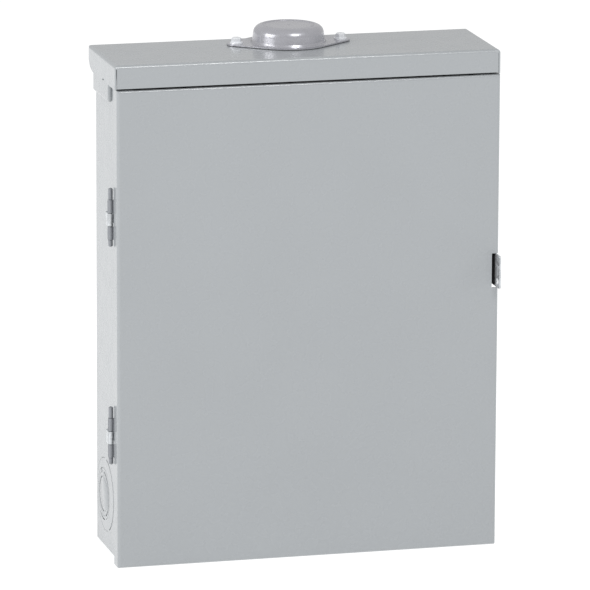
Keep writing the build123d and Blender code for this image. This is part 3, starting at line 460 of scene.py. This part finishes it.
# ---- case -----------------------------------------------------------------------------------
SIDE_FROM_BACK, SIDE_UP = 31.3, 49.3
SLUG_R, SMALL_SLUG_R, SLUG_RISE = 16.1, 10.4, 0.3
SMALL_SLUGS_Y, SMALL_SLUGS_X = -40, (-120, -60, 0, 60, 120)
LARGE_SLUGS_Y, LARGE_SLUGS_X = -70, (-90, 90)
wrap_low, wrap_high = box_mm("enclosure_wrap")
side_y, side_z = wrap_high.y - SIDE_FROM_BACK, wrap_low.z + SIDE_UP
slugs = Piece("knockout_slugs", "case_enamel")
side_ring = [(18.5, 0), (19.0, 0.25), (20.4, 0.25), (20.8, 0)]
for facing, wall_x in (("left", wrap_low.x), ("right", wrap_high.x)):
    for profile in (button(SLUG_R, SLUG_RISE), side_ring):
        slugs.turned(profile, facing, (wall_x, side_y, side_z), 24)
underside = box_mm("bottom_end_wall")[0].z
for x in SMALL_SLUGS_X:
    slugs.turned(button(SMALL_SLUG_R, SLUG_RISE), "down", (x, SMALL_SLUGS_Y, underside))
for x in LARGE_SLUGS_X:
    slugs.turned(button(SLUG_R, SLUG_RISE), "down", (x, LARGE_SLUGS_Y, underside))
slugs.done()

# ---- conduit hub plate ----------------------------------------------------------------------
FOOT_BEAD_R, DISC_BEAD_R, MARK_R = 36.6, 23.6, 1.5
PLATE_T, DISC_SUNK = 1.3, 0.5
plate_low, plate_high = box_mm("hub_closing_plate")
hub_y = sum(corner.y for corner in box_mm("hub_screws")) / 2
flange_at = (0, hub_y, plate_low.z + PLATE_T)
disc_at = (0, hub_y, plate_high.z - DISC_SUNK)
dome = Piece("hub_dome_bead", "die_cast")
dome.turned([(FOOT_BEAD_R + out, rise) for out, rise in bead(1.5, 0.7)], "up", flange_at, 24)
dome.turned([(DISC_BEAD_R + out, rise) for out, rise in bead(1.4, 0.48)], "up", disc_at, 24)
dome.turned(button(MARK_R, 0.35), "up", disc_at)
dome.done()

# ---- hinges ---------------------------------------------------------------------------------
KNUCKLE_R, KNUCKLE = 2.7, 12.9
PIN_DOME = [(0, 0.55), (0.6, 0.5), (1.1, 0.32), (1.45, 0), (0, 0)]
# the door curls, pin caps and welds also take the darker painted-shade copy of the hinge paint
CURLS = (("door", "hinge_shaded_enamel", (-KNUCKLE, KNUCKLE)), ("enclosure", "galvanised", (0,)))
CURL_HALF, CURL_RISE, CURL_SUNK, CURL_FORWARD = 0.55, 0.35, 0.1, 0.4
WELD_R, WELD_RISE, WELD_IN, WELD_BACK, WELD_STEPS = 2.3, 0.3, 5.0, 4.6, (-14, 0, 14)
for name in ("upper", "lower"):
    pin_low, pin_high = box_mm(f"hinge_pin_{name}")
    hinge_x, hinge_y = (pin_low.x + pin_high.x) / 2, (pin_low.y + pin_high.y) / 2
    leaf_low, leaf_high = box_mm(f"hinge_door_leaf_{name}")
    hinge_z = (leaf_low.z + leaf_high.z) / 2
    caps = Piece(f"hinge_pin_caps_{name}", "hinge_shaded_enamel")
    caps.turned(PIN_DOME, "up", (hinge_x, hinge_y, pin_high.z))
    caps.turned(PIN_DOME, "down", (hinge_x, hinge_y, pin_low.z))
    caps.done()
    # the free end of each rolled knuckle shows as a low lip down its outer side
    for body, finish, heights in CURLS:
        lips = Piece(f"hinge_curl_{body}_{name}", finish, body)
        for dz in heights:
            at = (hinge_x - KNUCKLE_R + CURL_SUNK, hinge_y - CURL_FORWARD, hinge_z + dz)
            lips.pad(CURL_HALF, KNUCKLE / 2 - 0.6, 0.3, CURL_RISE, "left", at, 0.2)
        lips.done()
    welds = Piece(f"hinge_welds_{name}", "hinge_shaded_enamel", "door")
    for dz in WELD_STEPS:
        at = (leaf_low.x + WELD_IN, leaf_low.y + WELD_BACK, hinge_z + dz)
        welds.turned(dimple(WELD_R, WELD_RISE), "right", at)
    welds.done()

# ---- latch ----------------------------------------------------------------------------------
# a dark pad in the gasket rubber finish lines the hasp inside the door's notch, behind the door's front
# sheet: painted shade that darkens the notch
HASP_T, PAD_FROM, PAD_TO, PAD_SHORT, PAD_T = 1.5, 1.8, 15.8, 1.0, 1.2
hasp_low, hasp_high = box_mm("latch_hasp")
door_front = box_mm("door_panel")[0].y
pad_y, pad_z = door_front + (PAD_FROM + PAD_TO) / 2, (hasp_low.z + hasp_high.z) / 2
pad_half_y, pad_half_z = (PAD_TO - PAD_FROM) / 2, (hasp_high.z - hasp_low.z) / 2 - PAD_SHORT
shade_pad = Piece("latch_shade_pad", "gasket_rubber")
shade_pad.pad(pad_half_y, pad_half_z, 1.2, PAD_T, "left", (hasp_high.x - HASP_T, pad_y, pad_z), 0.4)
shade_pad.done()

# ---- deadfront ------------------------------------------------------------------------------
SPACE, CASE_GAP = 25.4, 0.2             # one breaker space, and what each case gives up at its top
NOSE_MIDDLE, NUMBERS_OUT, ROWS, FILLED_ROWS = 31.0, 62.0, 10, 5
FIELD_BACK = 2.0                        # the deadfront's field lies this far behind the noses
BORDER_HALF = (150, 212, 10)            # half width, half height and corner radius
TWIST_OUT_HALF = (20.4, 10.4, 1.6)
SCREW_IN = 3.2
SCREW_BOSS = [(3.4, 0), (3.4, 0.5), (5.4, 0.5), (5.8, 0)]


def space_heights(top, count):
    """The middle heights of breaker spaces counted down from the top of a case."""
    return [top + CASE_GAP - SPACE * (i + 0.5) for i in range(count)]


first_low, first_high = box_mm("breaker_case_1")
nose_y = first_low.y
field_y = nose_y + FIELD_BACK
row_heights = space_heights(first_high.z, ROWS)
trim = Piece("deadfront_beads", "deadfront_enamel")
cover_low, cover_high = box_mm("deadfront_cover")
middle_z = (cover_low.z + cover_high.z) / 2
trim.swept(rounded(*BORDER_HALF), bead(5, 1.2), "front", (0, field_y, middle_z))
for side in (-1, 1):
    for z in row_heights[FILLED_ROWS:]:
        at = (side * NOSE_MIDDLE, field_y, z)
        trim.swept(rounded(*TWIST_OUT_HALF, 4), bead(1.6, 0.45), "front", at)
screw_low, screw_high = box_mm("deadfront_screws")
for x in (screw_low.x + SCREW_IN, screw_high.x - SCREW_IN):
    for z in (screw_low.z + SCREW_IN, screw_high.z - SCREW_IN):
        trim.turned(SCREW_BOSS, "front", (x, cover_low.y, z))
trim.done()

numbers = Piece("circuit_numbers", "ink_dark")
for i, z in enumerate(row_heights):
    numbers.figures(str(2 * i + 1), 8, "front", (-NUMBERS_OUT, field_y, z))
    numbers.figures(str(2 * i + 2), 8, "front", (NUMBERS_OUT, field_y, z))
numbers.done()

# ---- breakers -------------------------------------------------------------------------------
RATINGS = ("30", "20", "20", "15", "30", "20", "15", "15")
MAIN_RATING = "100"
MARK_OUT, MARK_DROP, RATING_DROP, GROOVE_UP = 14.5, 4, 8.5, 10.2
bezels = Piece("breaker_bezels", "breaker_black")
marks = Piece("breaker_marks", "ink_pale")
levers = []                             # (handle, side, heights of its levers, rating)
for number, rating in enumerate(RATINGS, 1):
    case_low, case_high = box_mm(f"breaker_case_{number}")
    side = 1 if case_low.x > 0 else -1
    heights = space_heights(case_high.z, round((case_high.z - case_low.z) / SPACE))
    levers.append((f"breaker_handle_{number}", side, heights, rating))
    for z in heights:
        bezels.swept(rounded(9.2, 6.2, 1.5, 4), bead(1.3, 0.6), "front", (side * NOSE_MIDDLE, nose_y, z))
        for mark, dx in (("I", -MARK_OUT), ("O", MARK_OUT)):
            marks.figures(mark, 5, "front", ((NOSE_MIDDLE + dx) * side, nose_y, z - MARK_DROP))
        # finger grooves moulded across the nose, above and below the lever
        for dz in (-GROOVE_UP, GROOVE_UP):
            bezels.pad(9, 0.5, 0.4, 0.4, "front", (side * NOSE_MIDDLE, nose_y, z + dz), 0.2)
    at = (side * (NOSE_MIDDLE + MARK_OUT), nose_y, case_high.z - RATING_DROP)
    marks.figures(rating, 5.5, "front", at)
main_low, main_high = box_mm("main_breaker_case")
main_z = (main_low.z + main_high.z) / 2 - 1
bezels.swept(rounded(10.4, 12.2, 2, 4), bead(1.6, 0.8), "front", (0, main_low.y, main_z))
for mark, dz in (("I", 17), ("O", -17), (MAIN_RATING, -23.4)):
    marks.figures(mark, 6, "front", (0, main_low.y, main_z + dz))
bezels.done()
marks.done()


def lever_tip(name, facing, ends, rating, half_across, half_up):
    """Grip ridges and the rating on the end of each lever of a handle."""
    grips = Piece(f"{name}_grips", "handle_black", name)
    ratings = Piece(f"{name}_rating", "ink_pale", name)
    across, up = (Vector(direction) for direction in FACINGS[facing])
    # the ridges run across the thumb's push: upright on a branch lever, level on the main one
    if facing == "main_lever":
        offset, ridge = up * (half_up - 0.5), (half_across - 0.6, 0.3)
    else:
        offset, ridge = across * (half_across - 0.5), (0.3, half_up - 0.6)
    for end in ends:
        for way in (-1, 1):
            grips.pad(*ridge, 0.25, 0.35, facing, end + offset * way, 0.15)
        ratings.figures(rating, 1.5 * min(half_across, half_up), facing, end, 0.1)
    grips.done()
    ratings.done()


NOSE_TO_AXLE, LEVER = 8.0, 19.5
MAIN_NOSE_TO_AXLE, MAIN_LEVER = 11.0, 21.5
for handle, side, heights, rating in levers:
    reach = Vector((-side * math.sin(LEAN), -math.cos(LEAN), 0)) * LEVER
    ends = [Vector((side * NOSE_MIDDLE, nose_y + NOSE_TO_AXLE, z)) + reach for z in heights]
    lever_tip(handle, "right_lever" if side > 0 else "left_lever", ends, rating, 2.2, 4.3)
axle = Vector((0, main_low.y + MAIN_NOSE_TO_AXLE, main_z))
reach = Vector((0, -math.cos(LEAN), math.sin(LEAN))) * MAIN_LEVER
lever_tip("main_breaker_handle", "main_lever", [axle + reach], MAIN_RATING, 7.5, 3.0)

# ---- directory card -------------------------------------------------------------------------
LINE, TABLE_DROP, TABLE_HALF_W, TABLE_ROWS = 21.0, 6, 72, 10
TABLE_HALF_H = TABLE_ROWS / 2 * LINE
COLUMN_LINES = (-TABLE_HALF_W, -58, 0, 14, TABLE_HALF_W)
NUMBER_COLUMNS = ((1, -65), (2, 7))
HOLDER_LIP = [(1.6, -0.3), (1.6, 0.7), (-1.8, 0.7), (-1.8, 0.2), (0, -0.1)]
card_low, card_high = box_mm("directory_card")
card_x = (card_low.x + card_high.x) / 2
rules = Piece("directory_rules", "ink_dark", "door")
for row in range(TABLE_ROWS + 1):
    at = (card_x, card_high.y, TABLE_HALF_H - row * LINE - TABLE_DROP)
    rules.pad(TABLE_HALF_W, 0.2, 0.1, 0.06, "back", at)
for dx in COLUMN_LINES:
    rules.pad(0.2, TABLE_HALF_H, 0.1, 0.06, "back", (card_x - dx, card_high.y, -TABLE_DROP))
for row in range(TABLE_ROWS):
    for column, dx in NUMBER_COLUMNS:
        at = (card_x - dx, card_high.y, TABLE_HALF_H - (row + 0.5) * LINE - TABLE_DROP)
        rules.figures(str(2 * row + column), 7, "back", at, 0.08)
rules.done()
holder = Piece("directory_holder", "bright_zinc", "door")
holder.swept(rounded(80.5, 120.5, 3, 4), HOLDER_LIP, "back", (card_x, card_high.y, 0))
holder.done()
